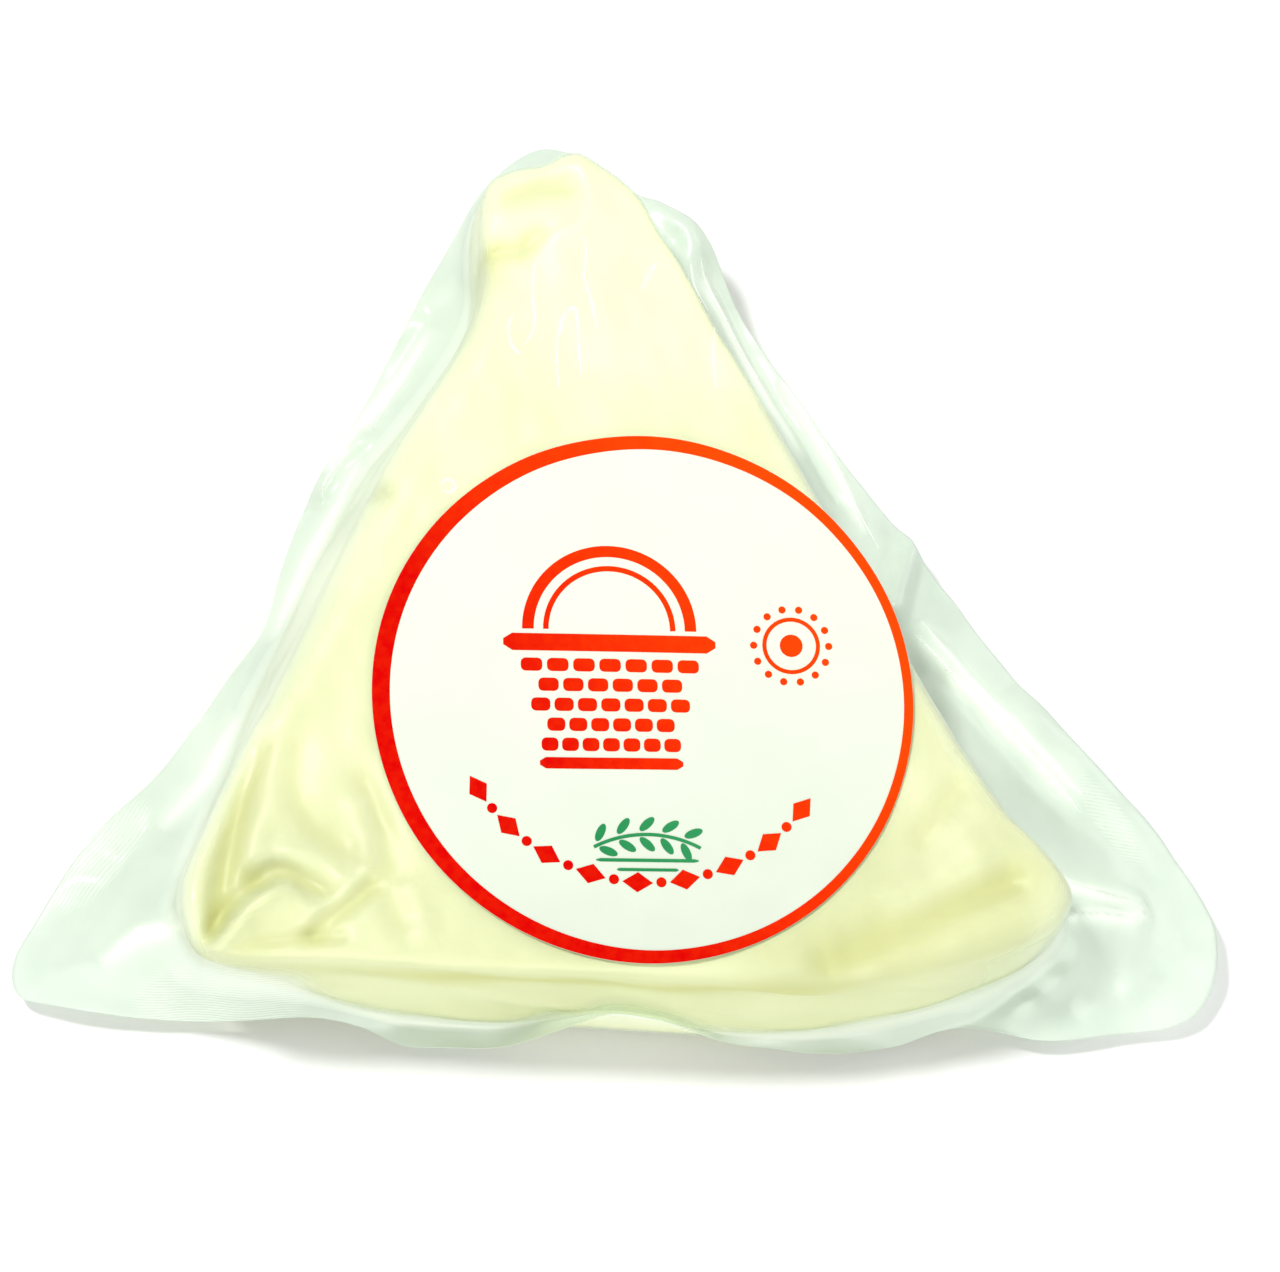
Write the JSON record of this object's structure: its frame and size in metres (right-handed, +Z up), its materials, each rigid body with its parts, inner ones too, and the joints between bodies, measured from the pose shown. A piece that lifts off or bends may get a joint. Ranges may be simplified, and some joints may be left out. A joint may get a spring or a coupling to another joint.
{
  "type": "vacuum-packed wedge of goat basket cheese",
  "caption": "Soft goat cheese wedge in clear vacuum film with a wavy sealed edge, lying on its flat back, with a round paper label on its face.",
  "frame": {"origin": "on the flat back, straight below the centre of the round label", "axes": "+Z up out of the labelled face, +Y towards the wedge's point, +X along the rind side to the right"},
  "size_m": [0.1838, 0.1398, 0.04],
  "materials": {
    "packed_cheese": "moist white-yellow cheese pressed against clear film",
    "clear_film": "glossy clear vacuum film, two sheets sealed together",
    "label_paper": "smooth white paper",
    "label_red": "printed red ink on paper",
    "label_green": "printed green ink on paper"
  },
  "bodies": {
    "root": {"vacuum_pack": "packed_cheese", "label": "label_paper"}
  },
  "joints": []
}
